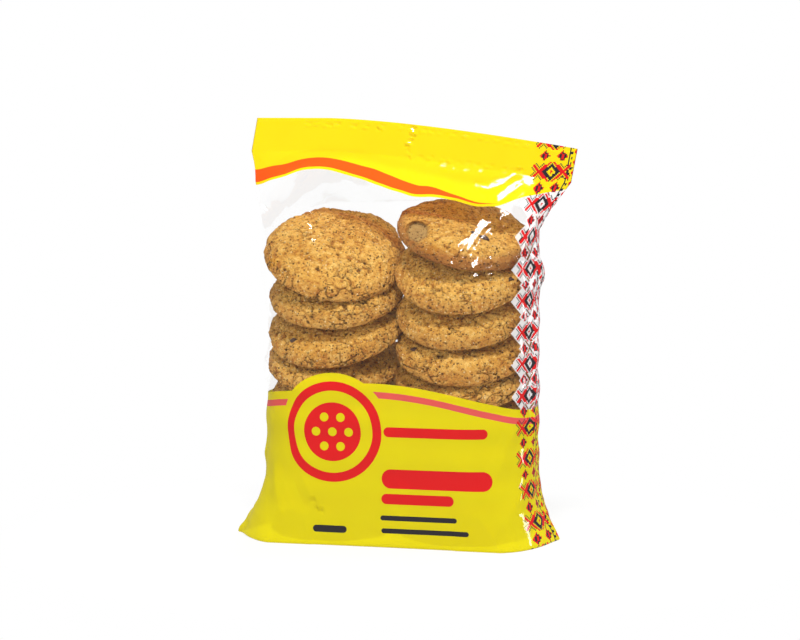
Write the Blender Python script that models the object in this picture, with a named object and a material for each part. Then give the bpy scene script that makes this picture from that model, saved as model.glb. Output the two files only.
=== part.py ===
"""A sealed clear pack of oatmeal raisin cookies, as one closed solid out to its film.

Two stacks of round cookies stand side by side in a tube of clear film. Above the
stacks the film runs together into a flat sealed header, and at the floor it is folded
flat, which leaves a pointed ear at each side. The solid stands on its flat base, +Z up,
with the front at -Y and the origin in the middle of the base.
"""

import math

import bpy

# Driving dimensions, in metres.
COOKIE_RADIUS = 0.0340
STACK_OFFSET = 0.0335  # each stack's axis from the middle of the body
FILM_SLACK = 0.0015  # how far the film stands off the cookies
WRAP_RADIUS = COOKIE_RADIUS + FILM_SLACK

# The top cookies lie at a slant, their front rims low. The film leaves them at their rims.
LEFT_SHOULDER = 0.1400  # height of the left top cookie's middle
RIGHT_SHOULDER = 0.1480
LEFT_SLANT = math.radians(30)
RIGHT_SLANT = math.radians(22)

# The header is the flattened tube, sealed along its top edge. It leans a little to
# the right, and its top edge falls away to the right.
HEADER_LEFT = -0.0715  # the ends of its top edge
HEADER_RIGHT = 0.0863
HEADER_LEAN = 0.0030  # how far the seal's foot lies to the left of the top edge
SEAL_HEIGHT = 0.0160
HEADER_THICKNESS = 0.0016
HEADER_WAVE = 0.0020  # how far the header bows out of its plane
TOP_HEIGHT = 0.2022
TOP_DROP = 0.0145  # at the right end

# The ears are the corners of the flattened base fold.
LEFT_EAR_REACH = 0.0125
RIGHT_EAR_REACH = 0.0110
LEFT_EAR_SWING = -0.0100  # how far the tip lies to the front (negative) or back
RIGHT_EAR_SWING = 0.0060
EAR_HEIGHT = 0.0240
EAR_WIDTH = 0.0300  # along the film, from the ear's tip to where it joins the pack

# The base edge is slightly rolled in.
BASE_INSET = 0.0018
BASE_ROLL = 0.0030

# Mesh fineness.
POINTS_PER_SIDE = 34
WALL_RINGS = 9
SHOULDER_RINGS = 9
HEADER_RINGS = 3

COLOUR = (0.62, 0.42, 0.12, 1.0)
ROUGHNESS = 0.35


def clear_scene():
    for item in list(bpy.data.objects):
        bpy.data.objects.remove(item, do_unlink=True)


def wrap_point(share):
    """A point on the front half of the film round both stacks, from the left tip (0) to the right (1).

    The film runs a quarter circle, a straight front and a quarter circle.
    """
    quarter = WRAP_RADIUS * math.pi / 2
    front = 2 * STACK_OFFSET
    along = share * (2 * quarter + front)
    if along < quarter:
        angle = along / WRAP_RADIUS
        return -STACK_OFFSET - WRAP_RADIUS * math.cos(angle), -WRAP_RADIUS * math.sin(angle)
    if along > quarter + front:
        angle = (2 * quarter + front - along) / WRAP_RADIUS
        return STACK_OFFSET + WRAP_RADIUS * math.cos(angle), -WRAP_RADIUS * math.sin(angle)
    return -STACK_OFFSET + (along - quarter), -WRAP_RADIUS


def smooth(value):
    value = min(1.0, max(0.0, value))
    return value * value * (3 - 2 * value)


def shoulder_height(x, y):
    """Height at which the film leaves the top cookies' rims."""
    right = smooth(0.5 + x / (2 * STACK_OFFSET))
    left_plane = LEFT_SHOULDER + y * math.tan(LEFT_SLANT)
    right_plane = RIGHT_SHOULDER + y * math.tan(RIGHT_SLANT)
    return left_plane + (right_plane - left_plane) * right


def header_x(share, part=0.0):
    """Across the header; part runs from 0 at the seal's foot to 1 at its top edge."""
    return HEADER_LEFT + (HEADER_RIGHT - HEADER_LEFT) * share - HEADER_LEAN * (1 - part)


def header_y(share, side):
    """The header's plane bows gently; side is -1 at the front film and 1 at the back film."""
    bow = HEADER_WAVE * math.sin(2 * math.pi * share)
    edge = min(1.0, 12 * min(share, 1 - share))
    return bow + side * HEADER_THICKNESS / 2 * edge


def header_top(share):
    across = max(0.0, header_x(share, 1.0) / HEADER_RIGHT)
    return TOP_HEIGHT - TOP_DROP * across ** 1.4


def ear_offset(share, height):
    """How far the base ear draws the film out of the body's outline at this place, as (x, y)."""
    film_length = math.pi * WRAP_RADIUS + 2 * STACK_OFFSET
    from_tip = min(share, 1 - share) * film_length
    across = max(0.0, 1 - from_tip / EAR_WIDTH) ** 2
    rise = max(0.0, 1 - height / EAR_HEIGHT) ** 1.2
    if share < 0.5:
        return -LEFT_EAR_REACH * across * rise, LEFT_EAR_SWING * across * rise
    return RIGHT_EAR_REACH * across * rise, RIGHT_EAR_SWING * across * rise


def wall_point(share, side, height):
    """A point of the upright wall, rolled in at the base and drawn out into the ears."""
    x, y = wrap_point(share)
    y *= -side
    roll = BASE_INSET * (1 - math.sqrt(1 - (1 - min(1.0, height / BASE_ROLL)) ** 2))
    kept = 1 - roll / math.hypot(x, y)
    ear_x, ear_y = ear_offset(share, height)
    return x * kept + ear_x, y * kept + ear_y, height


def levels():
    """The rings from the base to the top edge, as (kind, share of that stretch)."""
    base = [("base", step) for step in (0.0, 0.02, 0.06, 0.14, 0.30, 0.50, 0.72, 1.0)]
    wall = [("wall", (ring + 1) / WALL_RINGS) for ring in range(WALL_RINGS)]
    shoulder = [("shoulder", (ring + 1) / SHOULDER_RINGS) for ring in range(SHOULDER_RINGS)]
    header = [("header", (ring + 1) / HEADER_RINGS) for ring in range(HEADER_RINGS)]
    return base + wall + shoulder + header


def film_point(share, side, kind, part):
    """A point of the pack's outer surface. side is -1 at the front and 1 at the back."""
    if kind == "base":
        return wall_point(share, side, part * EAR_HEIGHT)
    x, y = wrap_point(share)
    y *= -side
    rim = shoulder_height(x, y)
    if kind == "wall":
        return wall_point(share, side, EAR_HEIGHT + (rim - EAR_HEIGHT) * part)
    foot = header_top(share) - SEAL_HEIGHT
    flat_y = header_y(share, side)
    if kind == "shoulder":
        drawn_in = part ** 1.15
        return (
            x + (header_x(share) - x) * drawn_in,
            y + (flat_y - y) * drawn_in,
            rim + (foot - rim) * part,
        )
    return header_x(share, part), flat_y, foot + SEAL_HEIGHT * part


def ring_points(kind, part):
    """One closed ring: the front film from left to right, then the back film from right to left."""
    shares = [step / POINTS_PER_SIDE for step in range(POINTS_PER_SIDE + 1)]
    front = [film_point(share, -1, kind, part) for share in shares]
    back = [film_point(share, 1, kind, part) for share in reversed(shares[1:-1])]
    return front + back


def centred(points):
    """Moves the pack sideways to put its middle on the origin, as the header and ears are uneven."""
    across = [x for x, y, z in points]
    middle = (min(across) + max(across)) / 2
    return [(x - middle, y, z) for x, y, z in points]


def make_pack():
    """Lofts the rings, and closes the base and the top edge."""
    rings = [ring_points(kind, part) for kind, part in levels()]
    count = len(rings[0])
    points = centred([point for ring in rings for point in ring])
    faces = []
    for ring in range(len(rings) - 1):
        low, high = ring * count, (ring + 1) * count
        for step in range(count):
            after = (step + 1) % count
            faces.append((low + step, low + after, high + after, high + step))
    faces.append(tuple(reversed(range(count))))

    top = (len(rings) - 1) * count
    for step in range(POINTS_PER_SIDE):
        front, front_next = top + step, top + step + 1
        back, back_next = top + (count - step) % count, top + count - step - 1
        corners = [front, front_next, back_next, back]
        faces.append(tuple(dict.fromkeys(corners)))

    mesh = bpy.data.meshes.new("cookie_pack")
    mesh.from_pydata(points, [], faces)
    mesh.validate()
    mesh.shade_smooth()
    mesh.set_sharp_from_angle(angle=math.radians(35))
    return bpy.data.objects.new("cookie_pack", mesh)


def pack_material():
    material = bpy.data.materials.new("film_over_cookies")
    material.use_nodes = True
    shader = material.node_tree.nodes["Principled BSDF"]
    shader.inputs["Base Color"].default_value = COLOUR
    shader.inputs["Roughness"].default_value = ROUGHNESS
    shader.inputs["Metallic"].default_value = 0.0
    return material


def main():
    clear_scene()
    parts = bpy.data.collections.new("cookie_pack")
    bpy.context.scene.collection.children.link(parts)
    pack = make_pack()
    pack.data.materials.append(pack_material())
    parts.objects.link(pack)


main()
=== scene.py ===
"""Looks of a sealed clear pack of oatmeal raisin cookies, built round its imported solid.

Lengths are in millimetres until a mesh or an object is made, and z is up. The front is at -Y.
"""

import math

import bmesh
import bpy
import numpy as np
from mathutils import Matrix, Vector


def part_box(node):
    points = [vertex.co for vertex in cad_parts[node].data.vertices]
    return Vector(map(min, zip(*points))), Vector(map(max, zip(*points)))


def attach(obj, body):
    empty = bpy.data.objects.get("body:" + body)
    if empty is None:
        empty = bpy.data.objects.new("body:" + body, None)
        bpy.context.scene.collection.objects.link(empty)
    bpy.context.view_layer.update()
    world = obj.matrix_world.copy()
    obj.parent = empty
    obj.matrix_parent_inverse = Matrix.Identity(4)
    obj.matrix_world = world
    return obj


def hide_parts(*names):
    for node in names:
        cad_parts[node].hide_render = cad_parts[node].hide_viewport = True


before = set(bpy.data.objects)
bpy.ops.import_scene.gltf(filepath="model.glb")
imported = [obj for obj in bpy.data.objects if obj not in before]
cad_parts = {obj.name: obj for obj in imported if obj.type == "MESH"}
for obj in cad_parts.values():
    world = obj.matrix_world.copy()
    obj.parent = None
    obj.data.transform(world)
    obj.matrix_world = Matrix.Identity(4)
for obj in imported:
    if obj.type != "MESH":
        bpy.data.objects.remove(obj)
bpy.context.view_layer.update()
pack_low, pack_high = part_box("cookie_pack")

MM = 0.001

# The film's own shape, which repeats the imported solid's, just inside its surface.
FILM_INSET = 0.25
RELIEF_ROOM = 1.1  # how far folds may stand proud of the smooth film
WRAP_RADIUS = (pack_high.y - pack_low.y) / MM / 2 - RELIEF_ROOM
STACK_OFFSET = 33.5
QUARTER = WRAP_RADIUS * math.pi / 2
HALF_FILM = 2 * QUARTER + 2 * STACK_OFFSET
LEFT_SHOULDER, LEFT_SLANT = 140.0, math.tan(math.radians(30))
RIGHT_SHOULDER, RIGHT_SLANT = 148.0, math.tan(math.radians(22))
HEADER_LEFT, HEADER_RIGHT, HEADER_LEAN = -71.5, 86.3, 3.0
SEAL_HEIGHT, HEADER_WAVE = 16.0, 2.0
TOP_HEIGHT, TOP_DROP = pack_high.z / MM - FILM_INSET, 14.0
EAR_REACH, EAR_SWING = (12.2, 10.7), (-10.0, 6.0)
EAR_HEIGHT, EAR_WIDTH = 24.0, 26.0
BASE_INSET, BASE_ROLL = 1.2, 2.4
CORNER_HEIGHT, CORNER_FULLNESS = 46.0, 9.0  # how the film squares out towards its folded base
LEFT_SLACK, RIGHT_SLACK = 1.2, 0.0  # how far the film is drawn in to the stacks at the sides
SHIFT = pack_high.x / MM - HEADER_RIGHT

# Fineness of the film's mesh, in columns round the pack and rows from base to top.
FRONT_COLUMNS, BACK_COLUMNS = 240, 64
FRONT_REACH = 92.0
BASE_ROWS, WALL_ROWS, SHOULDER_ROWS, SEAL_ROWS = 20, 104, 70, 24

CAMERA_DISTANCE = 1.2
CAMERA_TURN, CAMERA_RISE = math.radians(14.0), math.radians(5.5)
CAMERA_TARGET = (SHIFT * MM, 0.0, 0.105)
CAMERA_LENS = 112.0
TOP_LAMP = (0.18, -0.68, 1.25)


def camera_place():
    level = CAMERA_DISTANCE * math.cos(CAMERA_RISE)
    return (
        CAMERA_TARGET[0] + level * math.sin(CAMERA_TURN),
        CAMERA_TARGET[1] - level * math.cos(CAMERA_TURN),
        CAMERA_TARGET[2] + CAMERA_DISTANCE * math.sin(CAMERA_RISE),
    )


def srgb(red, green, blue):
    """A colour from its display values, 0 to 255, as the linear values that shaders take."""
    linear = [(v / 255 / 12.92) if v <= 10 else ((v / 255 + 0.055) / 1.055) ** 2.4
              for v in (red, green, blue)]
    return (*linear, 1.0)


# ---------------------------------------------------------------- noise on arrays of points

def lattice_value(cell, seed):
    """A repeatable number from 0 to 1 for each whole-number cell."""
    mixed = (cell[:, 0] * 73856093) ^ (cell[:, 1] * 19349663) ^ (cell[:, 2] * 83492791)
    mixed = (mixed ^ (seed * 2654435761)) & 0xFFFFFFFF
    mixed = ((mixed ^ (mixed >> 15)) * 2246822519) & 0xFFFFFFFF
    mixed = ((mixed ^ (mixed >> 13)) * 3266489917) & 0xFFFFFFFF
    return (mixed ^ (mixed >> 16)) / 0xFFFFFFFF


def noise(points, seed):
    """Smooth noise of about one cell to a unit, from -1 to 1."""
    cell = np.floor(points).astype(np.int64)
    part = points - cell
    fade = part * part * part * (part * (part * 6 - 15) + 10)
    total = np.zeros(len(points))
    for corner in np.ndindex(2, 2, 2):
        offset = np.array(corner)
        weight = np.prod(np.where(offset == 1, fade, 1 - fade), axis=1)
        place = cell + offset
        height = lattice_value(place, seed) * 2 * math.pi
        turn = lattice_value(place, seed + 101) * 2 - 1
        flat = np.sqrt(1 - turn * turn)
        away = part - offset
        slope = away[:, 0] * flat * np.cos(height) + away[:, 1] * flat * np.sin(height)
        total += weight * (slope + away[:, 2] * turn)
    return total * 1.6


def nearest_cells(points, seed):
    """Distances to the nearest and second nearest scattered seeds, and the nearest's number."""
    cell = np.floor(points).astype(np.int64)
    first = np.full(len(points), 9.0)
    second = np.full(len(points), 9.0)
    owner = np.zeros(len(points))
    for step in np.ndindex(3, 3, 3):
        place = cell + np.array(step) - 1
        spot = place + np.stack([lattice_value(place, seed + axis) for axis in (1, 2, 3)], axis=1)
        away = np.linalg.norm(points - spot, axis=1)
        closer = away < first
        second = np.where(closer, first, np.minimum(second, away))
        owner = np.where(closer, lattice_value(place, seed + 7), owner)
        first = np.where(closer, away, first)
    return first, second, owner


def smooth_step(low, high, value):
    share = np.clip((value - low) / (high - low), 0, 1)
    return share * share * (3 - 2 * share)


def curve_through(points, at):
    """A smooth curve through a few (place, value) points, with level ends."""
    places, values = np.array(points, float).T
    slopes = np.gradient(values, places)
    slopes[0] = slopes[-1] = 0
    at = np.clip(at, places[0], places[-1])
    left = np.clip(np.searchsorted(places, at, side="right") - 1, 0, len(places) - 2)
    width = places[left + 1] - places[left]
    t = (at - places[left]) / width
    return (
        values[left] * (1 + 2 * t) * (1 - t) ** 2
        + slopes[left] * width * t * (1 - t) ** 2
        + values[left + 1] * t * t * (3 - 2 * t)
        + slopes[left + 1] * width * t * t * (t - 1)
    )


# ---------------------------------------------------------------- shader arithmetic

class Field:
    """A number that varies over a surface: an output of a material's node tree, with arithmetic."""

    def __init__(self, tree, socket):
        self.tree = tree
        self.socket = socket

    def math(self, operation, *others):
        node = self.tree.nodes.new("ShaderNodeMath")
        node.operation = operation
        for place, value in enumerate((self, *others)):
            if isinstance(value, Field):
                self.tree.links.new(value.socket, node.inputs[place])
            else:
                node.inputs[place].default_value = value
        return Field(self.tree, node.outputs[0])

    def __add__(self, other):
        return self.math("ADD", other)

    def __sub__(self, other):
        return self.math("SUBTRACT", other)

    def __mul__(self, other):
        return self.math("MULTIPLY", other)

    def __truediv__(self, other):
        return self.math("DIVIDE", other)

    def __abs__(self):
        return self.math("ABSOLUTE")

    def less(self, edge):
        return self.math("LESS_THAN", edge)

    def more(self, edge):
        return self.math("GREATER_THAN", edge)

    def most(self, other):
        return self.math("MAXIMUM", other)

    def wrapped(self, span):
        """Repeats every span, from minus half of it to half of it."""
        return self.math("WRAP", -span / 2, span / 2)

    def snapped(self, step):
        """The middle of the step that the number falls in."""
        return (self / step).math("FLOOR") * step + step / 2

    def ramp(self, low, high, start=0.0, end=1.0):
        node = self.tree.nodes.new("ShaderNodeMapRange")
        node.inputs["From Min"].default_value = low
        node.inputs["From Max"].default_value = high
        node.inputs["To Min"].default_value = start
        node.inputs["To Max"].default_value = end
        self.tree.links.new(self.socket, node.inputs["Value"])
        return Field(self.tree, node.outputs["Result"])


def new_material(name):
    material = bpy.data.materials.new(name)
    material.use_nodes = True
    tree = material.node_tree
    tree.nodes.clear()
    output = tree.nodes.new("ShaderNodeOutputMaterial")
    return material, tree, output


def attribute_field(tree, name):
    node = tree.nodes.new("ShaderNodeAttribute")
    node.attribute_name = name
    return Field(tree, node.outputs["Fac"])


def attribute_axes(tree, name):
    node = tree.nodes.new("ShaderNodeAttribute")
    node.attribute_name = name
    split = tree.nodes.new("ShaderNodeSeparateXYZ")
    tree.links.new(node.outputs["Vector"], split.inputs[0])
    return [Field(tree, split.outputs[axis]) for axis in range(3)]


def noise_field(tree, scale, detail=2.0, roughness=0.5, stretch=(1, 1, 1)):
    """Noise over the object's own coordinates, from 0 to 1."""
    place = tree.nodes.new("ShaderNodeTexCoord")
    mapping = tree.nodes.new("ShaderNodeMapping")
    mapping.inputs["Scale"].default_value = stretch
    node = tree.nodes.new("ShaderNodeTexNoise")
    node.inputs["Scale"].default_value = scale
    node.inputs["Detail"].default_value = detail
    node.inputs["Roughness"].default_value = roughness
    tree.links.new(place.outputs["Object"], mapping.inputs["Vector"])
    tree.links.new(mapping.outputs[0], node.inputs["Vector"])
    return Field(tree, node.outputs[0])


def blend_colour(tree, below, above, amount):
    """Puts one colour over another. Each is a colour or a socket; the amount is a Field."""
    node = tree.nodes.new("ShaderNodeMix")
    node.data_type = "RGBA"
    tree.links.new(amount.socket, node.inputs["Factor"])
    for socket, colour in ((node.inputs[6], below), (node.inputs[7], above)):
        if isinstance(colour, tuple):
            socket.default_value = colour
        else:
            tree.links.new(colour, socket)
    return node.outputs[2]


def mix_shaders(tree, amount, first, second):
    node = tree.nodes.new("ShaderNodeMixShader")
    if isinstance(amount, Field):
        tree.links.new(amount.socket, node.inputs[0])
    else:
        node.inputs[0].default_value = amount
    tree.links.new(first, node.inputs[1])
    tree.links.new(second, node.inputs[2])
    return node.outputs[0]


def bump(tree, height, distance, strength=1.0):
    node = tree.nodes.new("ShaderNodeBump")
    node.inputs["Distance"].default_value = distance
    node.inputs["Strength"].default_value = strength
    tree.links.new(height.socket, node.inputs["Height"])
    return node.outputs[0]


# ---------------------------------------------------------------- the film's shape

def wrap(share):
    """The front half of the film, from the left tip (0) to the right tip (1)."""
    along = share * HALF_FILM
    from_end = np.minimum(along, HALF_FILM - along)
    angle = np.minimum(from_end, QUARTER) / WRAP_RADIUS
    side = np.where(share < 0.5, -1.0, 1.0)
    straight = np.maximum(0, from_end - QUARTER)
    x = side * (STACK_OFFSET - straight + WRAP_RADIUS * np.cos(angle))
    return x, -WRAP_RADIUS * np.sin(angle)


def rim_height(x, y):
    """Height at which the film leaves the top cookies."""
    right = smooth_step(-STACK_OFFSET, STACK_OFFSET, x)
    left_plane = LEFT_SHOULDER + y * LEFT_SLANT
    return left_plane + (RIGHT_SHOULDER + y * RIGHT_SLANT - left_plane) * right


def header_top(share):
    across = np.maximum(0, (share - 0.22) / 0.78)
    return TOP_HEIGHT - TOP_DROP * across ** 1.5


def header_place(share, side, part):
    """On the seal: part runs from 0 at its foot to 1 at the top edge."""
    x = HEADER_LEFT + (HEADER_RIGHT - HEADER_LEFT) * share - HEADER_LEAN * (1 - part)
    y = HEADER_WAVE * np.sin(2 * math.pi * share) + side * 0.35 * np.minimum(
        1, 12 * np.minimum(share, 1 - share))
    return x, y


def wall_place(share, side, height):
    x, y = wrap(share)
    y = y * -side
    # Towards the base the round ends fill out into corners.
    end_x = np.clip((np.abs(x) - STACK_OFFSET) / WRAP_RADIUS, 0, 1)
    end_y = y / WRAP_RADIUS
    fuller = CORNER_FULLNESS * np.maximum(0, 1 - height / CORNER_HEIGHT) ** 1.3
    fuller = fuller * (2 * end_x * np.abs(end_y)) ** 1.4
    x = x + np.sign(x) * fuller * end_x
    y = np.clip(y + fuller * end_y, -WRAP_RADIUS - 0.6, WRAP_RADIUS + 0.6)
    rise = np.minimum(1, height / BASE_ROLL)
    roll = BASE_INSET * (1 - np.sqrt(1 - (1 - rise) ** 2))
    kept = 1 - roll / np.hypot(x, y)
    slack = np.where(share < 0.5, LEFT_SLACK, RIGHT_SLACK) * (
        smooth_step(8, 30, height) * (1 - smooth_step(105, 128, height)))
    outwards = np.abs(x) / (STACK_OFFSET + WRAP_RADIUS)
    kept = kept - slack / WRAP_RADIUS * smooth_step(0.55, 1, outwards)
    # The ears are drawn out of the side folds, most at the floor.
    left = share < 0.5
    from_tip = np.minimum(share, 1 - share) * HALF_FILM / EAR_WIDTH
    reach = np.where(left, -EAR_REACH[0], EAR_REACH[1])
    swing = np.where(left, EAR_SWING[0], EAR_SWING[1])
    pull = np.maximum(0, 1 - from_tip) ** 1.7
    pull = pull * np.maximum(0, 1 - height / EAR_HEIGHT) ** 1.2
    return x * kept + reach * pull, y * kept + swing * pull, height + 0 * x


def film_rows():
    """Rows of the film's mesh from the base fold up, as (kind, share of that stretch)."""
    stretches = (("base", BASE_ROWS), ("wall", WALL_ROWS),
                 ("shoulder", SHOULDER_ROWS), ("seal", SEAL_ROWS))
    rows = [("base", 0.0), ("base", 0.02)]
    for kind, count in stretches:
        rows += [(kind, (row + 1) / count) for row in range(count)]
    return rows


def film_row(around, kind, part):
    """One row of places. around is the distance round the pack from the middle of the front."""
    turned = np.abs(around) > HALF_FILM / 2
    share = np.where(turned, np.where(around > 0, 1.5, -0.5) - around / HALF_FILM,
                     around / HALF_FILM + 0.5)
    side = np.where(turned, 1.0, -1.0)
    if kind == "base":
        return wall_place(share, side, part * EAR_HEIGHT)
    x, y = wrap(share)
    y = y * -side
    rim = rim_height(x, y)
    if kind == "wall":
        return wall_place(share, side, EAR_HEIGHT + (rim - EAR_HEIGHT) * part)
    foot = header_top(share) - SEAL_HEIGHT
    if kind == "shoulder":
        flat_x, flat_y = header_place(share, side, 0.0)
        drawn = part ** 1.15
        return x + (flat_x - x) * drawn, y + (flat_y - y) * drawn, rim + (foot - rim) * part
    flat_x, flat_y = header_place(share, side, part)
    return flat_x, flat_y, foot + SEAL_HEIGHT * part


def facets(across, up, size, count, seed):
    """Flat facets meeting at sharp creases, as in crumpled film; about -0.5 to 0.5."""
    rng = np.random.default_rng(seed)
    points = np.stack([across / 37, up / 37, 0 * up], axis=-1).reshape(-1, 3)
    bend = noise(points, seed).reshape(across.shape) * 9
    total = 0
    for _ in range(count):
        angle, phase = rng.uniform(0, math.pi), rng.uniform()
        span = size * rng.uniform(0.7, 1.5)
        wave = ((across + bend) * math.cos(angle) + (up - bend) * math.sin(angle)) / span + phase
        total = total + np.abs(2 * (wave % 1) - 1) - 0.5
    return total / count


def crease(across, up, start, end, width, depth):
    """A fold along a straight line that fades out at its ends."""
    (x0, z0), (x1, z1) = start, end
    length = math.hypot(x1 - x0, z1 - z0)
    along = ((across - x0) * (x1 - x0) + (up - z0) * (z1 - z0)) / length ** 2
    off = ((across - x0) * (z1 - z0) - (up - z0) * (x1 - x0)) / length
    fade = smooth_step(0, 0.25, along) * (1 - smooth_step(0.75, 1, along))
    return depth * fade * np.maximum(0, 1 - np.abs(off) / width)


def stroke(start, end, width):
    """A thin four-cornered shape along a line."""
    (x0, z0), (x1, z1) = start, end
    length = math.hypot(x1 - x0, z1 - z0)
    side_x, side_z = (z1 - z0) / length * width / 2, (x0 - x1) / length * width / 2
    return ((x0 + side_x, z0 + side_z), (x1 + side_x, z1 + side_z),
            (x1 - side_x, z1 - side_z), (x0 - side_x, z0 - side_z))


def add_glint(grid, normal, across, up, corners):
    """Flattens a patch of film, and turns it half way between the viewer and the top lamp."""
    middle = np.mean(corners, axis=0)
    inside = np.full(across.shape, 9.0)
    for (x0, z0), (x1, z1) in zip(corners, corners[1:] + corners[:1]):
        length = math.hypot(x1 - x0, z1 - z0)
        off = ((x1 - x0) * (up - z0) - (z1 - z0) * (across - x0)) / length
        turn = (x1 - x0) * (middle[1] - z0) - (z1 - z0) * (middle[0] - x0)
        inside = np.minimum(inside, off * math.copysign(1, turn))
    mask = smooth_step(-0.5, 0.35, inside)
    nearest = np.argmin((across - middle[0]) ** 2 + (up - middle[1]) ** 2)
    centre = grid.reshape(-1, 3)[nearest]
    to_lamp = np.array(TOP_LAMP) / MM - centre
    to_view = np.array(camera_place()) / MM - centre
    turned = to_lamp / np.linalg.norm(to_lamp) + to_view / np.linalg.norm(to_view)
    turned /= np.linalg.norm(turned)
    away = ((centre - grid) @ turned) / np.maximum(0.4, normal @ turned)
    # A wide facet is broken into steps, so that it stays near the smooth film.
    lowest = GLINT_MIDDLE - GLINT_DEPTH / 2
    stepped = (away - lowest) % GLINT_DEPTH + lowest
    return grid + normal * (stepped * mask)[:, :, None]


def film_relief(around, up, seal_foot):
    """How far the film stands proud of its smooth shape, over the whole grid."""
    tip = np.abs(np.abs(around) - HALF_FILM / 2)  # distance from the side fold
    on_wall = smooth_step(8, 30, up) * (1 - smooth_step(112, 135, up))
    below_seal = 1 - smooth_step(-6, 0, up - seal_foot)
    on_shoulder = smooth_step(112, 135, up) * below_seal
    near_side = np.exp(-(tip / 14) ** 2)
    relief = -0.5 * on_wall * (0.5 + 0.5 * np.cos(2 * math.pi * up / 16.5))
    relief += 0.9 * on_wall * (0.35 + near_side) * facets(around, up, 19, 3, 5)
    relief += 2.2 * on_shoulder * facets(around, up, 30, 4, 11)
    relief += 0.8 * on_shoulder * facets(around, up, 13, 3, 23)
    relief += 1.6 * (1 - smooth_step(10, 30, up)) * smooth_step(0, 4, up) * (
        0.25 + near_side) * facets(around, up, 11, 3, 31)
    relief += 0.5 * smooth_step(-30, -12, up - seal_foot) * below_seal * facets(
        around, up, 17, 3, 47)
    for start, end, width, depth in CREASES:
        relief += crease(around, up, start, end, width, depth)
    return relief


# Folds that show on the pack: (start, end) as (round from the middle of the front, height).
CREASES = (
    ((58, 128), (44, 168), 5.0, 1.6),
    ((42, 122), (54, 160), 4.0, -1.2),
    ((30, 138), (36, 108), 2.5, 1.0),
    ((66, 138), (48, 128), 2.0, 1.3),
    ((-48, 158), (-38, 140), 1.6, 1.0),
    ((-56, 128), (-46, 108), 4.0, 1.0),
    ((-66, 112), (-50, 86), 4.0, -1.0),
    ((44, 118), (58, 100), 4.5, 1.0),
    ((-84, 88), (-66, 74), 3.5, 2.0),
    ((-60, 40), (-46, 10), 6.0, 1.2),
    ((-46, 34), (-36, 14), 5.0, -1.0),
    ((66, 60), (52, 30), 6.0, 0.9),
    ((70, 30), (50, 6), 5.0, 0.8),
    ((84, 120), (78, 40), 3.0, 1.4),
    ((78, 140), (98, 122), 5.0, 2.6),
    ((-84, 70), (-80, 20), 4.0, 1.2),
)

GLINT_DEPTH = 2.4  # how far the steps of a facet stand out and in, together
GLINT_MIDDLE = -0.4
GLINT_LINE_WIDTH, SEAL_GLINT_WIDTH = 1.5, 1.7

# Flat facets of the crumpled film that are turned to catch the top lamp, by their corners.
GLINTS = (
    ((43.3, 155.8), (51.0, 154.5), (44.0, 147.5), (40.8, 150.0)),
    ((41.0, 150.5), (44.2, 148.0), (38.3, 139.8), (39.2, 145.0)),
    ((39.8, 140.0), (46.5, 141.5), (46.6, 129.0), (44.0, 126.5)),
    ((47.6, 138.5), (52.3, 139.0), (54.0, 130.0), (49.5, 129.0)),
    ((44.5, 126.5), (55.5, 129.5), (49.0, 125.0), (45.3, 123.0)),
    ((31.0, 136.5), (33.0, 137.2), (42.3, 122.3), (40.0, 121.8)),
    ((-35.0, 150.5), (-33.0, 150.5), (-32.0, 147.0), (-34.0, 147.5)),
    ((-28.0, 144.0), (-26.0, 146.0), (-22.5, 146.0), (-23.0, 144.7)),
    ((-2.5, 198.0), (0.5, 198.0), (1.5, 193.5), (-1.0, 193.0)),
    ((-3.5, 191.5), (0.5, 191.8), (0.5, 189.0), (-3.0, 188.5)),
    ((-36.0, 22.0), (-34.5, 23.0), (-28.5, 15.5), (-30.0, 14.5)),
)
GLINT_LINES = (
    ((-46.0, 158.0), (-34.0, 149.0)),
    ((55.7, 129.0), (62.5, 135.5)),
    ((62.5, 135.5), (73.0, 139.5)),
    ((37.5, 171.5), (45.0, 169.5)),
    ((45.0, 169.5), (53.0, 172.0)),
    ((53.0, 172.0), (60.0, 178.5)),
    ((-2.0, 186.5), (2.0, 183.0)),
)
# Rows of glints along the seal: where each starts and ends, and how far below the top edge it is.
SEAL_GLINTS = ((-8.0, 84.0, 2.2), (4.0, 66.0, 15.0), (10.0, 40.0, 17.5), (-60.0, -20.0, 3.2))

# The print's edges, each a curve through (round from the middle of the front, height).
LABEL_EDGE = ((-178, 73), (-130, 77), (-89, 69), (-52, 72.5), (-2, 78), (22, 75.5),
              (36, 72.8), (50, 69.5), (66, 66), (89, 65), (130, 70), (178, 73))
HEADER_EDGE = ((-178, 176), (-140, 182), (-112, 178), (-89, 169.5), (-72, 172.5), (-48, 177.5),
               (-25, 173.5), (-3, 167.5), (8, 165.2), (18, 165), (28, 163.8), (46, 160.8),
               (66, 165.5), (89, 169), (112, 172), (140, 170), (178, 176))
STRIPE_WIDTH = ((-178, 3), (-89, 6.2), (-48, 4.3), (-3, 4.8), (14, 3.5), (27, 1.6),
                (44, 0.5), (52, 0), (100, 0), (140, 3), (178, 3))


def add_values(mesh, **fields):
    """Gives a mesh a number at each point, under each name, for its material to read."""
    for name, values in fields.items():
        layer = mesh.attributes.new(name, "FLOAT", "POINT")
        layer.data.foreach_set("value", values.astype(np.float32).ravel())


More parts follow.
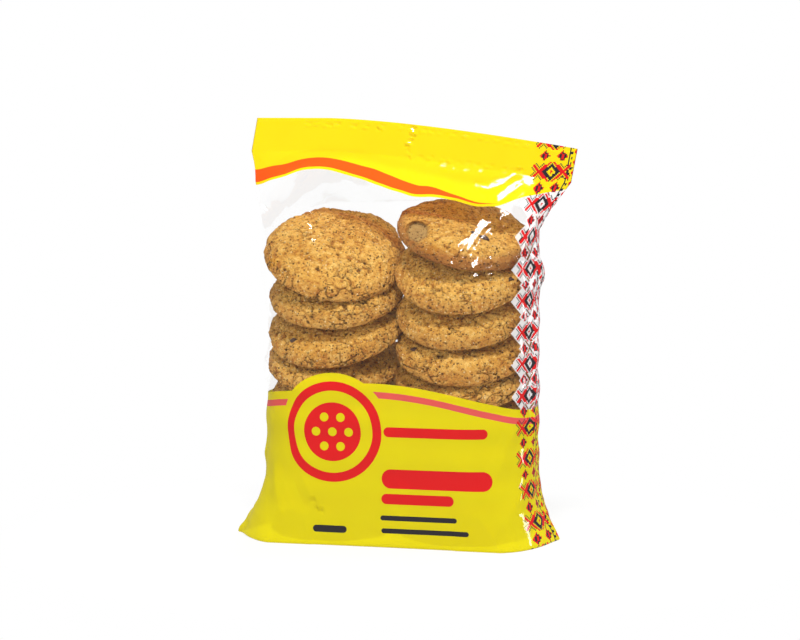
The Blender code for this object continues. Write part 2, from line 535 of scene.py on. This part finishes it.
def make_film():
    around = np.concatenate([
        np.linspace(-HALF_FILM, -FRONT_REACH, BACK_COLUMNS, endpoint=False),
        np.linspace(-FRONT_REACH, FRONT_REACH, FRONT_COLUMNS, endpoint=False),
        np.linspace(FRONT_REACH, HALF_FILM, BACK_COLUMNS + 1)])
    rows = [film_row(around, kind, part) for kind, part in film_rows()]
    grid = np.stack([np.stack(row, axis=-1) for row in rows])
    share = np.where(np.abs(around) > HALF_FILM / 2,
                     np.where(around > 0, 1.5, -0.5) - around / HALF_FILM,
                     around / HALF_FILM + 0.5)
    up = grid[:, :, 2].copy()
    across = np.broadcast_to(around, up.shape)
    along_row = np.gradient(grid, axis=1)
    along_column = np.gradient(grid, axis=0)
    normal = np.cross(along_row, along_column)
    normal /= np.maximum(1e-9, np.linalg.norm(normal, axis=2, keepdims=True))
    relief = film_relief(across, up, header_top(share) - SEAL_HEIGHT)
    grid = grid + normal * relief[:, :, None]
    for corners in GLINTS:
        grid = add_glint(grid, normal, across, up, corners)
    for start, end in GLINT_LINES:
        grid = add_glint(grid, normal, across, up, stroke(start, end, GLINT_LINE_WIDTH))
    rng = np.random.default_rng(8)
    for first, last, below in SEAL_GLINTS:
        place = first
        while place < last:
            length = rng.uniform(1.0, 5.0)
            level = np.interp(place, around, header_top(share)) - below + rng.uniform(-0.5, 0.5)
            dash_end = (place + length, level - 0.1 * length)
            dash = stroke((place, level), dash_end, SEAL_GLINT_WIDTH)
            grid = add_glint(grid, normal, across, up, dash)
            place += length + rng.uniform(1.0, 6.0)
    # The sheet's two edges meet at the middle of the back.
    grid[:, -1] = grid[:, 0] = (grid[:, 0] + grid[:, -1]) / 2
    grid[:, :, 0] += SHIFT
    low, high = np.array(pack_low) / MM, np.array(pack_high) / MM
    grid = np.clip(grid, low + (0.1, 0.1, 0), high - 0.1)

    count_rows, count_columns = up.shape
    index = np.arange(count_rows * count_columns).reshape(up.shape)
    quads = np.stack([index[:-1, :-1], index[:-1, 1:], index[1:, 1:], index[1:, :-1]], axis=-1)
    mesh = bpy.data.meshes.new("film")
    mesh.from_pydata((grid * MM).reshape(-1, 3), [], quads.reshape(-1, 4).tolist())
    mesh.shade_smooth()

    label = up - curve_through(LABEL_EDGE, across)
    header = curve_through(HEADER_EDGE, across) - up
    stripe = curve_through(STRIPE_WIDTH, across)
    add_values(mesh, label=label, header=header, stripe=stripe)
    place = mesh.attributes.new("place", "FLOAT_VECTOR", "POINT")
    to_top = up - header_top(share)
    spots = np.stack([across, up, to_top], axis=-1)
    place.data.foreach_set("vector", spots.astype(np.float32).ravel())
    film = bpy.data.objects.new("film", mesh)
    bpy.context.scene.collection.objects.link(film)
    return film


# ---------------------------------------------------------------- the print

HEADER_YELLOW = srgb(246, 222, 0)
# The label's ink is the header's yellow painted darker: painted shade for the cookies behind it.
SHADED_LABEL_YELLOW = srgb(226, 212, 0)
ORANGE = srgb(255, 92, 10)
ROSE = srgb(226, 90, 84)
RED = srgb(222, 24, 26)
DARK = srgb(44, 40, 44)
WHITE = (0.9, 0.9, 0.9, 1.0)

EMBLEM = (-24.5, 54.5)
RING_OUTER, RING_INNER = 24.0, 19.6
DISC_RADIUS = 14.0
EMBLEM_MARGIN = 28.0

# Plain bars where lettering would be: (middle across, middle height, half length, half height).
RED_BARS = ((25.5, 55.2, 25.0, 2.4), (26.0, 33.0, 26.5, 4.6), (17.0, 23.4, 17.5, 2.5))
DARK_BARS = ((17.5, 14.3, 18.5, 1.2), (20.5, 8.2, 21.0, 1.2), (-25.8, 8.0, 8.3, 1.7))
BACK_BARS = ((-6, 2.0), (-13, 1.0), (-18, 1.0), (-23, 1.0), (-28, 1.0), (-33, 1.0), (-38, 1.0))

BAND_MIDDLE = 11.4  # from the side fold
BAND_PITCH = 15.0
STITCH = 0.62


def bar(across, up, spec):
    """A plain bar with round ends."""
    middle, height, half_length, half_height = spec
    along = (abs(across - middle) - (half_length - half_height)).most(0.0)
    off = up - height
    return (along * along + off * off).less(half_height ** 2)


def ornament(across, up):
    """A cross-stitched band beside the right fold: its red, dark and halo fields, each 0 or 1."""
    from_fold = abs(across - HALF_FILM / 2).snapped(STITCH)
    a = abs(from_fold - BAND_MIDDLE)
    b = (up + 3.0).snapped(STITCH).wrapped(BAND_PITCH)
    off = abs(b)
    # A dark diamond with a flower in it, in a red diamond.
    diamond = a + off
    dark = diamond.less(4.3) * diamond.more(2.3)
    red = diamond.less(0.8).most(diamond.less(6.1) * diamond.more(4.9) * off.less(4.6))
    # A red cross on each side of it, outlined in steps.
    arm_a, arms = abs(a - 6.3), off
    spread = arm_a.most(arms)
    askew = abs(arm_a - arms)
    red = red.most(askew.less(0.95) * spread.less(3.3))
    reach = arm_a + arms
    dark = dark.most(askew.more(1.55) * askew.less(2.2) * reach.less(6.2))
    # Chequered diamonds between the rows.
    between = abs(off - BAND_PITCH / 2)
    patch = abs(a - 4.4) + between
    column = (a / (2 * STITCH)).math("FLOOR")
    row = (between / (2 * STITCH)).math("FLOOR")
    check = (column + row).wrapped(2.0).math("ABSOLUTE").more(0.5)
    red = red.most(patch.less(3.0) * check)
    dark = dark.most(patch.less(2.4) * (check - 1.0) * -1.0)
    # A thin line and rows of dots beyond it, towards the fold.
    dark = dark.most(abs(from_fold - 3.7).less(0.32) * across.more(HALF_FILM / 2 - 20))
    dots = abs(from_fold - 2.2) + abs(up.snapped(STITCH).wrapped(2.48))
    dark = dark.most(dots.less(0.9))
    specks = abs(from_fold - 0.5) + abs((up + 1.9).snapped(STITCH).wrapped(4.96))
    red = red.most(specks.less(1.3))
    halo = diamond.less(6.6).most(reach.less(7.0)).most(patch.less(3.9))
    halo = halo.most(from_fold.less(4.4) * 0.35)
    return red, dark * (red - 1.0) * -1.0, halo


def film_material():
    material, tree, output = new_material("printed_film")
    across, up, to_top = attribute_axes(tree, "place")
    label = attribute_field(tree, "label")
    header = attribute_field(tree, "header")
    stripe = attribute_field(tree, "stripe")

    emblem_x, emblem_z = across - EMBLEM[0], up - EMBLEM[1]
    from_emblem = (emblem_x * emblem_x + emblem_z * emblem_z).math("SQRT")
    on_label = label.less(0.0).most(from_emblem.less(EMBLEM_MARGIN))
    on_header = header.less(0.0)
    yellow = on_label.most(on_header)

    band_red, band_dark, band_halo = ornament(across, up)
    off_emblem = from_emblem.more(EMBLEM_MARGIN)
    rose = abs(label + 5.4).less(1.55) * off_emblem
    orange = (header + 1.2).less(0.0) * (header + stripe + 1.2).more(0.0)

    ring = from_emblem.less(RING_OUTER) * from_emblem.more(RING_INNER)
    disc = from_emblem.less(DISC_RADIUS)
    chips = None
    for turn in range(7):
        angle = 2 * math.pi * turn / 6
        reach = 8.0 if turn < 6 else 0.0
        chip_x = emblem_x - reach * math.cos(angle)
        chip_z = emblem_z - reach * math.sin(angle)
        chip = (chip_x * chip_x + chip_z * chip_z).less(2.1 ** 2)
        chips = chip if chips is None else chips.most(chip)
    red = ring.most(disc * (chips - 1.0) * -1.0)
    for spec in RED_BARS:
        red = red.most(bar(across, up, spec))
    dark = None
    for spec in DARK_BARS:
        mark = bar(across, up, spec)
        dark = mark if dark is None else dark.most(mark)
    behind = abs(across) - HALF_FILM
    for offset, half_height in BACK_BARS:
        mark = bar(behind, up, (-34.0, 48.0 + offset, 24.0, half_height))
        dark = dark.most(mark)

    shade = noise_field(tree, 30.0, 2.0).ramp(0.3, 0.7, 0.0, 0.16)
    # The label's yellow carries painted shade; it is the same ink as the header's.
    colour = blend_colour(tree, SHADED_LABEL_YELLOW, HEADER_YELLOW, on_header)
    colour = blend_colour(tree, colour, srgb(214, 190, 0), shade)
    colour = blend_colour(tree, WHITE, colour, yellow)
    colour = blend_colour(tree, colour, ROSE, rose)
    colour = blend_colour(tree, colour, ORANGE, orange)
    colour = blend_colour(tree, colour, RED, red.most(band_red))
    colour = blend_colour(tree, colour, DARK, dark.most(band_dark))
    inked = yellow.most(band_red).most(band_dark)
    cover = inked.most(band_halo * 0.85)

    crimp = (to_top * (2 * math.pi / 1.3)).math("SINE")
    crimp = crimp * to_top.more(-SEAL_HEIGHT * 0.9)
    grain = noise_field(tree, 160.0, 3.0, stretch=(1, 1, 0.5)) * 0.12
    surface = bump(tree, crimp * 0.03 + grain, 0.0006, 0.5)

    clear = tree.nodes.new("ShaderNodeBsdfTransparent")
    clear.inputs["Color"].default_value = (0.998, 0.998, 0.997, 1)
    gloss = tree.nodes.new("ShaderNodeBsdfGlossy")
    gloss.inputs["Color"].default_value = (1, 1, 1, 1)
    gloss.inputs["Roughness"].default_value = 0.07
    tree.links.new(surface, gloss.inputs["Normal"])
    fresnel = tree.nodes.new("ShaderNodeFresnel")
    fresnel.inputs["IOR"].default_value = 1.5
    tree.links.new(surface, fresnel.inputs["Normal"])
    sheen = Field(tree, fresnel.outputs[0]).ramp(0.04, 1.0, 0.015, 0.12)

    ink = tree.nodes.new("ShaderNodeBsdfDiffuse")
    tree.links.new(colour, ink.inputs["Color"])
    glow = tree.nodes.new("ShaderNodeBsdfTransparent")
    tree.links.new(colour, glow.inputs["Color"])
    printed = mix_shaders(tree, 0.25, ink.outputs[0], glow.outputs[0])
    body = mix_shaders(tree, cover, clear.outputs[0], printed)
    tree.links.new(mix_shaders(tree, sheen, body, gloss.outputs[0]), output.inputs["Surface"])
    return material


# ---------------------------------------------------------------- cookies

DOME, FLAT_DOME = 11.6, 7.0  # heights of a usual cookie and of one that lies upside down
EDGE, FLAT_EDGE = 3.0, 6.5  # how far each goes on below its widest line
CRUST_TURN = 112.0  # how much of the round start shape, in degrees, goes to the crust


def cookie_shape(unit, radius, height, edge, seed):
    """Maps a unit sphere's points to a domed cookie with a flat underside."""
    polar = np.degrees(np.arccos(np.clip(unit[:, 2], -1, 1)))
    turn = np.arctan2(unit[:, 1], unit[:, 0])
    top = polar < CRUST_TURN
    phi = np.where(top, polar * 90 / CRUST_TURN,
                   90 + (polar - CRUST_TURN) * 90 / (180 - CRUST_TURN))
    phi = np.radians(phi)
    ring = np.stack([np.cos(turn) * 1.1, np.sin(turn) * 1.1, 0 * turn + seed * 0.37], axis=1)
    outline = radius * (1 + 0.022 * noise(ring, seed) + 0.008 * noise(ring * 4, seed + 1))
    swell = 1 + 0.12 * noise(ring * 0.8, seed + 2)
    out = np.where(top, np.sin(phi), np.abs(np.sin(phi)) ** 0.42)
    lift = np.where(top, height * swell * np.abs(np.cos(phi)) ** 1.2,
                    -edge * np.abs(np.cos(phi)) ** 0.55)
    return np.stack([outline * out * np.cos(turn), outline * out * np.sin(turn), lift], axis=1)


def crust_relief(points, seed, coarse):
    """Height of the crust over its smooth form, how far down each point lies in a crack or pore
    (which the material turns into painted shade), and a rise of the crumb (which it turns into
    painted light and shade).
    """
    at = points + seed * 13.7
    warp = np.stack([noise(at / 6 + 31 * k, seed + k) for k in (1, 2, 3)], axis=1)
    lumps = 1.0 * noise(at / 15, seed) + 0.6 * noise(at / 6.5, seed + 3)
    grains = 0.42 * noise(at / 2.6, seed + 4) + 0.30 * noise(at / 1.2, seed + 5)
    first, second, _ = nearest_cells((at + 2.6 * warp) / 6.5, seed + 20)
    fissured = smooth_step(0.05, 0.6, noise(at / 11, seed + 6) + 0.1 + 0.15 * coarse)
    ragged = 0.05 + 0.03 * noise(at / 1.6, seed + 8)
    crack = 0.7 * np.exp(-((second - first) / ragged) ** 2) * fissured
    near, _, number = nearest_cells((at + 0.6 * warp) / 2.1, seed + 40)
    pore = (1 - smooth_step(0.14, 0.32, near)) * (number > 0.45)
    wide, _, number = nearest_cells((at + warp) / 5.5, seed + 60)
    pit = (1 - smooth_step(0.08, 0.20, wide)) * (number > 0.62)
    height = lumps + coarse * grains - 1.5 * crack * coarse - 0.6 * pore - 1.1 * pit
    deep = np.clip(0.9 * crack * coarse + 0.7 * pore + 0.8 * pit, 0, 1)
    return height, deep, grains + 0.3 * lumps


def make_cookie(name, seed, radius, height, detail, edge, coarse, dent):
    """One cookie. dent is the place, direction, radius and depth of a dimple in it."""
    form = bmesh.new()
    bmesh.ops.create_icosphere(form, subdivisions=detail, radius=1.0)
    mesh = bpy.data.meshes.new(name)
    form.to_mesh(mesh)
    form.free()
    unit = np.empty(len(mesh.vertices) * 3)
    mesh.vertices.foreach_get("co", unit)
    points = cookie_shape(unit.reshape(-1, 3), radius, height, edge, seed)
    mesh.vertices.foreach_set("co", points.ravel())
    mesh.update()
    normals = np.empty(len(points) * 3)
    mesh.vertices.foreach_get("normal", normals)
    normals = normals.reshape(-1, 3)
    relief, deep, rise = crust_relief(points, seed, coarse)
    under = smooth_step(-0.2, 0.5, -normals[:, 2])
    relief = relief * (1 - 0.6 * under) * 1.15
    points = points + normals * relief[:, None]
    hollow = np.zeros(len(points))
    if dent:
        place, facing, reach, depth = dent
        facing = np.array(facing) / np.linalg.norm(facing)
        from_dent = points - np.array(place)
        along = from_dent @ facing
        off = np.linalg.norm(from_dent - along[:, None] * facing, axis=1)
        off = off * (1 + 0.12 * noise(points / 4, seed + 9))
        hollow = (1 - smooth_step(0.72, 1.0, off / reach)) * (np.abs(along) < 12)
        bowl = np.sqrt(np.clip(1 - (off / reach) ** 2, 0, 1)) * (np.abs(along) < 12)
        points = points - facing * (depth * (0.5 * bowl + 0.5 * hollow))[:, None]
    mesh.vertices.foreach_set("co", (points * MM).ravel())
    mesh.update()
    mesh.shade_smooth()
    toast = smooth_step(0.82, 1.0, np.hypot(points[:, 0], points[:, 1]) / radius)
    # The rim is browned by real toasting; the underside gets painted shade on top of it.
    toast = np.maximum(toast, under)
    add_values(mesh, deep=deep, rise=rise, toast=toast, hollow=hollow)
    cookie = bpy.data.objects.new(name, mesh)
    bpy.context.scene.collection.objects.link(cookie)
    return cookie


def speckles(tree, size, radius, chance, seed):
    """Small round specks of about one to a cell of the given size in metres; 1 inside a speck."""
    place = tree.nodes.new("ShaderNodeTexCoord")
    shift = tree.nodes.new("ShaderNodeVectorMath")
    shift.operation = "ADD"
    shift.inputs[1].default_value = (seed, seed * 0.7, seed * 1.3)
    cells = tree.nodes.new("ShaderNodeTexVoronoi")
    cells.inputs["Scale"].default_value = 1 / size
    tree.links.new(place.outputs["Object"], shift.inputs[0])
    tree.links.new(shift.outputs[0], cells.inputs["Vector"])
    split = tree.nodes.new("ShaderNodeSeparateColor")
    tree.links.new(cells.outputs["Color"], split.inputs[0])
    chosen = Field(tree, split.outputs[0]).less(chance)
    reach = Field(tree, split.outputs[1]).ramp(0.0, 1.0, radius * 0.5, radius * 1.3)
    inside = (reach - Field(tree, cells.outputs["Distance"])).ramp(0.0, 0.14)
    return inside * chosen


def cookie_material(name, tone=1.0, rim=0.4):
    """Baked oat crumb: golden, browner where it is toasted at the rim. Painted shade darkens the
    underside and each crack, pore and low spot, and painted light brightens the raised crumb.
    """
    material, tree, output = new_material(name)
    deep = attribute_field(tree, "deep")
    rise = attribute_field(tree, "rise")
    toast = attribute_field(tree, "toast")
    hollow = attribute_field(tree, "hollow")
    patches = noise_field(tree, 70.0, 4.0, 0.6)
    flakes = noise_field(tree, 380.0, 5.0, 0.7)
    grit = noise_field(tree, 1300.0, 2.0, 0.6)
    shaded_pores = speckles(tree, 0.0017, 0.30, 0.42, 0.0)
    fine_shaded_pores = speckles(tree, 0.0010, 0.34, 0.35, 3.0)
    crumbs = speckles(tree, 0.0013, 0.34, 0.25, 7.0)

    def toned(red, green, blue):
        return srgb(red * tone, green * tone, blue * tone)

    colour = blend_colour(tree, toned(214, 154, 60), toned(234, 180, 84), patches.ramp(0.38, 0.62))
    colour = blend_colour(tree, colour, toned(172, 108, 36), flakes.ramp(0.52, 0.62, 0, 0.9))
    colour = blend_colour(tree, colour, toned(250, 208, 120), flakes.ramp(0.46, 0.36, 0, 0.8))
    # Painted light on raised crumb and painted shade in low spots, by the height of the crust's
    # relief.
    colour = blend_colour(tree, colour, toned(248, 202, 108), rise.ramp(0.05, 0.5, 0, 0.5))
    colour = blend_colour(tree, colour, toned(158, 98, 34), rise.ramp(-0.12, -0.6, 0, 0.7))
    # Browner rim from real toasting, and painted shade on the underside.
    colour = blend_colour(tree, colour, toned(162, 98, 44), toast * rim)
    colour = blend_colour(tree, colour, toned(255, 228, 168), crumbs * 0.6)
    colour = blend_colour(tree, colour, toned(150, 92, 38), grit.ramp(0.58, 0.70, 0, 0.6))
    colour = blend_colour(tree, colour, srgb(168, 138, 88), hollow * 0.75)
    # Painted shade in small pores.
    colour = blend_colour(tree, colour, toned(104, 60, 24), fine_shaded_pores * 0.85)
    colour = blend_colour(tree, colour, toned(84, 48, 20), shaded_pores * 0.85)
    # Painted shade in each crack, pore and pit, by how far down the point lies.
    colour = blend_colour(tree, colour, srgb(70, 38, 14), deep.ramp(0.1, 0.9, 0, 0.92))

    crumb = flakes + grit * 0.7 - shaded_pores * 0.6 - fine_shaded_pores * 0.35 + crumbs * 0.25
    skin = tree.nodes.new("ShaderNodeBsdfPrincipled")
    skin.inputs["Roughness"].default_value = 0.8
    skin.inputs["Specular IOR Level"].default_value = 0.25
    tree.links.new(colour, skin.inputs["Base Color"])
    tree.links.new(bump(tree, crumb, 0.0014, 0.85), skin.inputs["Normal"])
    tree.links.new(skin.outputs[0], output.inputs["Surface"])
    return material


# Each stack from the base up: height of the cookie's middle, slant of its front rim down,
# roll of its right rim down, sideways and forward offset, and radius.
LEFT_STACK = (
    (4.5, 3, 0, 1.2, 0.0, 31.8), (19.5, 8, 2, 1.4, -0.5, 31.6), (35.0, 13, -2, 1.2, -1.0, 32.0),
    (51.5, 18, 3, 1.4, -1.5, 31.8), (68.0, 23, -2, 1.4, -1.5, 32.0),
    (85.0, 27, 6, 1.6, -1.5, 32.6), (101.5, 30, -3, 2.6, -1.5, 33.4),
    (119.0, 28, 2, 2.9, -1.5, 32.8), (136.0, 32, 14, 1.8, -2.0, 34.6),
)
RIGHT_STACK = (
    (4.5, 2, 0, -0.6, 0.0, 32.4), (19.0, 6, -2, -0.8, -0.5, 32.2), (34.0, 11, 2, -0.4, -1.0, 32.4),
    (49.0, 16, 1, -0.8, -1.5, 32.5), (64.5, 21, -2, -0.6, -2.0, 32.4),
    (80.0, 26, 1, -0.9, -3.0, 33.0), (95.0, 29, 3, -0.8, -3.0, 33.6),
    (112.0, 31, 1, -1.0, -3.0, 32.6), (130.0, 32, 4, -1.6, -3.0, 33.4),
    (148.0, 20, 14, -0.8, -1.5, 32.8),
)
# The dimple at the left of the right stack's top cookie: place, facing, radius and depth.
DENT = ((-19.0, -18.5, 3.0), (0.21, -0.86, 0.47), 5.6, 5.5)
VISIBLE_FROM = 75.0  # cookies lower than this are behind the label
FINE, COARSE = 7, 5  # rounds of subdivision of a cookie's mesh

# Raisins that show: (stack side, cookie counted from the top, across and up its face, size).
RAISINS = (
    (1, 0, 5.7, -11.0, 1.9), (1, 0, 11.6, -11.5, 2.1), (1, 1, 25.0, -11.0, 1.8),
    (-1, 2, -16.0, -20.0, 1.7), (1, 3, -20.0, -17.0, 1.6),
)


def cookie_matrix(side, spec):
    height, slant, roll, aside, forward, _ = spec
    place = Matrix.Translation((
        (side * STACK_OFFSET + aside + SHIFT) * MM, forward * MM, height * MM))
    return place @ Matrix.Rotation(math.radians(roll), 4, "Y") @ Matrix.Rotation(
        math.radians(slant), 4, "X")


def make_raisins():
    """Wrinkled raisins sunk in the crusts, all in one mesh."""
    form = bmesh.new()
    for number, (side, down, across, up, size) in enumerate(RAISINS):
        spec = (RIGHT_STACK if side > 0 else LEFT_STACK)[-1 - down]
        share = min(1, math.hypot(across, up) / spec[5])
        dome = FLAT_DOME if (side, down) == (1, 0) else DOME
        lift = dome * (1 - share ** 2) ** 0.6 - 0.35 * size
        made = bmesh.ops.create_icosphere(form, subdivisions=4, radius=1.0)["verts"]
        unit = np.array([vert.co for vert in made])
        folds = noise(unit * 1.6 + number * 5, 70) * 0.22 + noise(unit * (3.2, 3.2, 1.2), 71) * 0.14
        matrix = cookie_matrix(side, spec)
        for vert, place, fold in zip(made, unit, folds):
            out = place * (1 + fold) * np.array((1.25, 0.85, 0.6)) * size
            vert.co = matrix @ Vector((out + (across, up, lift)) * MM)
    mesh = bpy.data.meshes.new("raisins")
    form.to_mesh(mesh)
    form.free()
    mesh.shade_smooth()
    raisins = bpy.data.objects.new("raisins", mesh)
    bpy.context.scene.collection.objects.link(raisins)
    return raisins


def raisin_material():
    material, tree, output = new_material("raisin_skin")
    shade = noise_field(tree, 900.0, 3.0)
    colour = blend_colour(tree, srgb(46, 28, 22), srgb(92, 60, 38), shade.ramp(0.4, 0.65))
    skin = tree.nodes.new("ShaderNodeBsdfPrincipled")
    skin.inputs["Roughness"].default_value = 0.45
    tree.links.new(colour, skin.inputs["Base Color"])
    tree.links.new(bump(tree, shade, 0.0008, 0.6), skin.inputs["Normal"])
    tree.links.new(skin.outputs[0], output.inputs["Surface"])
    return material


def place_stack(side, stack, materials):
    cookies = []
    for number, spec in enumerate(stack):
        height, radius = spec[0], spec[5]
        top = number == len(stack) - 1
        flipped = top and side > 0
        seed = 100 + 17 * number + (500 if side > 0 else 0)
        name = f"cookie_{'right' if side > 0 else 'left'}_{number + 1}"
        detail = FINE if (height > VISIBLE_FROM) else COARSE
        cookie = make_cookie(
            name, seed, radius, FLAT_DOME if flipped else DOME, detail,
            edge=FLAT_EDGE if flipped else EDGE,
            coarse=0.6 if flipped else 1.0,
            dent=DENT if flipped else None)
        cookie.data.materials.append(materials["smooth" if flipped else number % 2])
        cookie.data.transform(cookie_matrix(side, spec))
        cookies.append(cookie)
    return cookies


# ---------------------------------------------------------------- floor, light and camera

def white_to_camera(tree):
    """1 for the rays that show the background, and 0 for the ones that light the object."""
    path = tree.nodes.new("ShaderNodeLightPath")
    seen = Field(tree, path.outputs["Is Camera Ray"])
    for ray in ("Is Glossy Ray", "Is Transmission Ray"):
        seen = seen.most(Field(tree, path.outputs[ray]))
    return seen


def make_floor():
    bpy.ops.mesh.primitive_plane_add(size=8.0)
    floor = bpy.context.object
    floor.name = "floor"
    material, tree, output = new_material("white_floor")
    matte = tree.nodes.new("ShaderNodeBsdfDiffuse")
    matte.inputs["Color"].default_value = (0.9, 0.9, 0.9, 1)
    white = tree.nodes.new("ShaderNodeEmission")
    white.inputs["Color"].default_value = (1, 1, 1, 1)
    seen = white_to_camera(tree)
    place = tree.nodes.new("ShaderNodeTexCoord")
    far = tree.nodes.new("ShaderNodeVectorMath")
    far.operation = "LENGTH"
    tree.links.new(place.outputs["Object"], far.inputs[0])
    whiten = Field(tree, far.outputs["Value"]).ramp(0.08, 0.20, 0.76, 1.0)
    lit = mix_shaders(tree, seen * whiten, matte.outputs[0], white.outputs[0])
    tree.links.new(lit, output.inputs["Surface"])
    floor.data.materials.append(material)


def make_world():
    world = bpy.data.worlds.new("studio")
    bpy.context.scene.world = world
    world.use_nodes = True
    tree = world.node_tree
    tree.nodes.clear()
    output = tree.nodes.new("ShaderNodeOutputWorld")
    fill = tree.nodes.new("ShaderNodeBackground")
    fill.inputs["Color"].default_value = (1, 1, 1, 1)
    fill.inputs["Strength"].default_value = 0.36
    white = tree.nodes.new("ShaderNodeBackground")
    white.inputs["Color"].default_value = (1, 1, 1, 1)
    white.inputs["Strength"].default_value = 1.0
    seen = white_to_camera(tree)
    tree.links.new(mix_shaders(tree, seen, fill.outputs[0], white.outputs[0]),
                   output.inputs["Surface"])


def area_light(name, place, target, size, power, gloss=True):
    light = bpy.data.lights.new(name, "AREA")
    light.shape = "RECTANGLE"
    light.size, light.size_y = size
    light.energy = power
    lamp = bpy.data.objects.new(name, light)
    lamp.visible_glossy = gloss
    bpy.context.scene.collection.objects.link(lamp)
    aim(lamp, place, target)


def aim(thing, place, target):
    """Puts a lamp or the camera at a place, looking at a target."""
    place, target = np.array(place, float), np.array(target, float)
    ahead = (target - place) / np.linalg.norm(target - place)
    right = np.cross(ahead, (0, 0, 1))
    right /= np.linalg.norm(right)
    above = np.cross(right, ahead)
    turn = Matrix((right, above, -ahead)).transposed().to_4x4()
    thing.matrix_world = Matrix.Translation(place) @ turn


def make_camera():
    data = bpy.data.cameras.new("camera")
    data.lens = CAMERA_LENS
    data.sensor_width = 36.0
    camera = bpy.data.objects.new("camera", data)
    bpy.context.scene.collection.objects.link(camera)
    aim(camera, camera_place(), CAMERA_TARGET)
    bpy.context.scene.camera = camera


def finish_piece(piece):
    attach(piece, "root")
    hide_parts("cookie_pack")


def main():
    scene = bpy.context.scene
    scene.view_settings.view_transform = "Standard"
    make_world()
    make_floor()
    make_camera()
    area_light("key", (-0.15, -1.25, 0.80), (0, 0, 0.1), (0.8, 0.6), 6.5, gloss=False)
    area_light("top", TOP_LAMP, (0, 0, 0.14), (0.22, 0.22), 13.5)
    area_light("side", (1.1, 0.40, 0.20), (0, 0, 0.1), (0.10, 0.4), 4.0)
    area_light("back", (0.1, 0.8, 0.8), (0, 0, 0.1), (0.8, 0.5), 3.0, gloss=False)

    film = make_film()
    film.data.materials.append(film_material())
    finish_piece(film)
    materials = {
        0: cookie_material("golden_crumb", 0.98),
        1: cookie_material("browner_crumb", 0.97),
        "smooth": cookie_material("smooth_crumb", 0.97, rim=0.8),
    }
    for cookie in place_stack(-1, LEFT_STACK, materials) + place_stack(1, RIGHT_STACK, materials):
        finish_piece(cookie)
    raisins = make_raisins()
    raisins.data.materials.append(raisin_material())
    finish_piece(raisins)


main()
